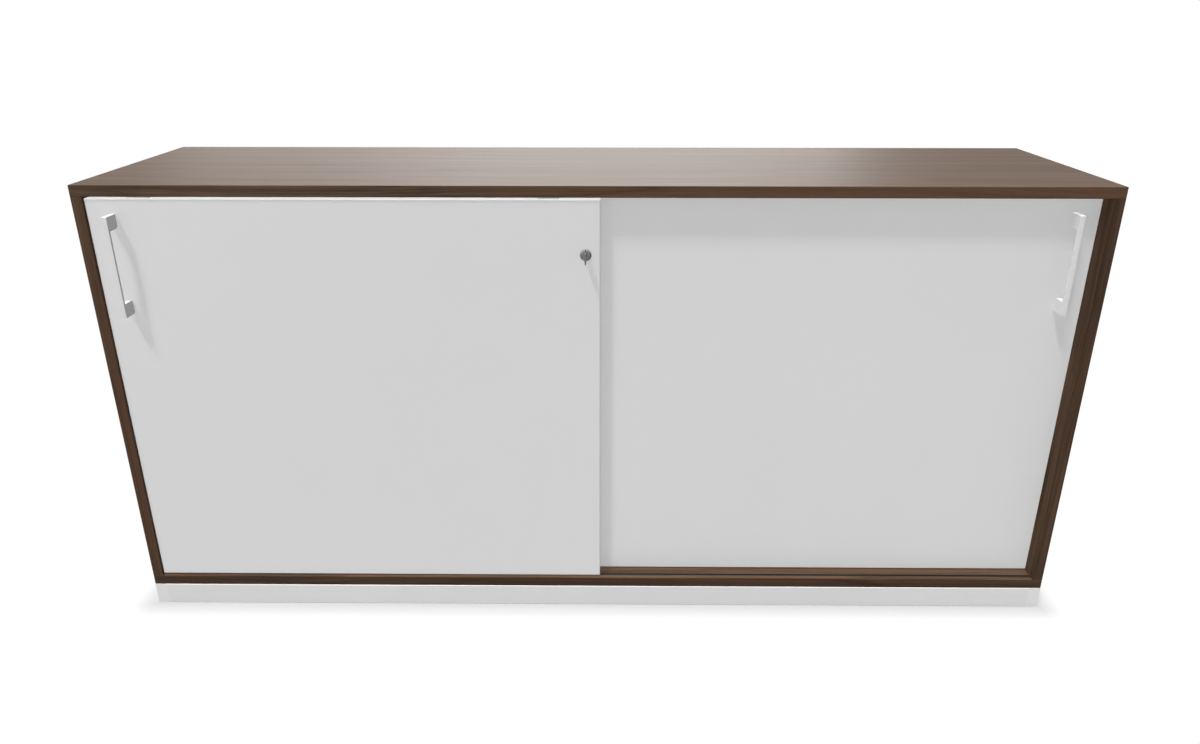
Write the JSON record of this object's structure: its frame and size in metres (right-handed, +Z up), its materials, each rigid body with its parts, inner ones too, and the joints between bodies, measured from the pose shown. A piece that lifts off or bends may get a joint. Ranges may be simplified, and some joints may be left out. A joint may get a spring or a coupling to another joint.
{
  "type": "sliding door cabinet",
  "caption": "Low office cabinet with overlapping sliding doors on rollers, bridge handles, a cylinder hook lock with its key, inner shelves and a steel tube plinth.",
  "frame": {"origin": "on the floor, at the middle of the cabinet's outline with the handle of the front door", "axes": "+X to the right seen from the front, +Y from the doors to the back, +Z up"},
  "size_m": [1.6, 0.4236, 0.76],
  "materials": {
    "walnut_board": "walnut decor, satin",
    "back_board": "walnut decor, satin",
    "plywood": "raw",
    "black_plastic": "matte",
    "white_board": "white melamine, satin",
    "white_metal": "white powder coat, satin",
    "plinth_metal": "light grey powder coat, satin",
    "white_plastic": "light grey, satin",
    "steel": "plain steel",
    "grey_plastic": "grey, satin",
    "nickel": "satin nickel plate"
  },
  "bodies": {
    "carcass": {"top_panel": "walnut_board", "bottom_panel": "walnut_board", "left_side_panel": "walnut_board", "right_side_panel": "walnut_board", "centre_partition": "walnut_board", "back_panel": "back_board", "left_shelf": "walnut_board", "right_shelf": "walnut_board", "shelf_supports": "steel", "board_splines": "plywood", "front_bottom_track": "black_plastic", "rear_bottom_track": "black_plastic", "front_top_track": "black_plastic", "rear_top_track": "black_plastic", "plinth_front_rail": "plinth_metal", "plinth_rear_rail": "plinth_metal", "plinth_left_rail": "plinth_metal", "plinth_right_rail": "plinth_metal", "plinth_middle_rail": "plinth_metal", "plinth_end_caps": "white_plastic"},
    "left_door": {"left_door_panel": "white_board", "left_handle": "white_metal", "left_roller_carriers": "grey_plastic", "left_roller_axles": "steel", "left_guide_housings": "white_plastic", "lock_housing": "nickel", "lock_nut": "steel"},
    "right_door": {"right_door_panel": "white_board", "right_handle": "white_metal", "right_roller_carriers": "grey_plastic", "right_roller_axles": "steel", "right_guide_housings": "white_plastic", "lock_keeper_pin": "steel"},
    "left_wheel_1": {"left_door_wheel_1": "grey_plastic"},
    "left_tongue_1": {"left_guide_tongue_1": "white_plastic"},
    "left_wheel_2": {"left_door_wheel_2": "grey_plastic"},
    "left_tongue_2": {"left_guide_tongue_2": "white_plastic"},
    "right_wheel_1": {"right_door_wheel_1": "grey_plastic"},
    "right_tongue_1": {"right_guide_tongue_1": "white_plastic"},
    "right_wheel_2": {"right_door_wheel_2": "grey_plastic"},
    "right_tongue_2": {"right_guide_tongue_2": "white_plastic"},
    "lock_cylinder": {"lock_plug": "nickel", "lock_hook": "steel", "lock_hook_screw": "steel"},
    "key": {"key": "steel"}
  },
  "joints": [
    {"name": "left_door_slide", "type": "slide", "parent": "carcass", "child": "left_door", "axis": [1, 0, 0], "range_m": [0, 0.725]},
    {"name": "right_door_slide", "type": "slide", "parent": "carcass", "child": "right_door", "axis": [1, 0, 0], "range_m": [-0.725, 0]},
    {"name": "left_wheel_1_roll", "type": "hinge", "parent": "left_door", "child": "left_wheel_1", "pos_m": [-0.7015, -0.17675, 0.0662], "axis": [0, 1, 0], "range_deg": [-10, 3800]},
    {"name": "left_wheel_2_roll", "type": "hinge", "parent": "left_door", "child": "left_wheel_2", "pos_m": [-0.0735, -0.17675, 0.0662], "axis": [0, 1, 0], "range_deg": [-10, 3800]},
    {"name": "right_wheel_1_roll", "type": "hinge", "parent": "right_door", "child": "right_wheel_1", "pos_m": [0.0735, -0.15075, 0.0662], "axis": [0, 1, 0], "range_deg": [-3800, 10]},
    {"name": "right_wheel_2_roll", "type": "hinge", "parent": "right_door", "child": "right_wheel_2", "pos_m": [0.7015, -0.15075, 0.0662], "axis": [0, 1, 0], "range_deg": [-3800, 10]},
    {"name": "left_tongue_1_press", "type": "slide", "parent": "left_door", "child": "left_tongue_1", "axis": [0, 0, -1], "range_m": [0, 0.009], "stiffness_N_per_m": 200, "springref_m": -0.01},
    {"name": "left_tongue_2_press", "type": "slide", "parent": "left_door", "child": "left_tongue_2", "axis": [0, 0, -1], "range_m": [0, 0.009], "stiffness_N_per_m": 200, "springref_m": -0.01},
    {"name": "right_tongue_1_press", "type": "slide", "parent": "right_door", "child": "right_tongue_1", "axis": [0, 0, -1], "range_m": [0, 0.009], "stiffness_N_per_m": 200, "springref_m": -0.01},
    {"name": "right_tongue_2_press", "type": "slide", "parent": "right_door", "child": "right_tongue_2", "axis": [0, 0, -1], "range_m": [0, 0.009], "stiffness_N_per_m": 200, "springref_m": -0.01},
    {"name": "lock_turn", "type": "hinge", "parent": "left_door", "child": "lock_cylinder", "pos_m": [-0.0161, -0.18475, 0.6523], "axis": [0, 1, 0], "range_deg": [0, 180]},
    {"name": "key_withdraw", "type": "slide", "parent": "lock_cylinder", "child": "key", "axis": [0, -1, 0], "range_m": [0, 0.035]}
  ],
  "couplings": [
    {"joint": "left_wheel_1_roll", "follows": "left_door_slide", "rad_per_m": 90.909},
    {"joint": "left_wheel_2_roll", "follows": "left_door_slide", "rad_per_m": 90.909},
    {"joint": "right_wheel_1_roll", "follows": "right_door_slide", "rad_per_m": 90.909},
    {"joint": "right_wheel_2_roll", "follows": "right_door_slide", "rad_per_m": 90.909}
  ]
}
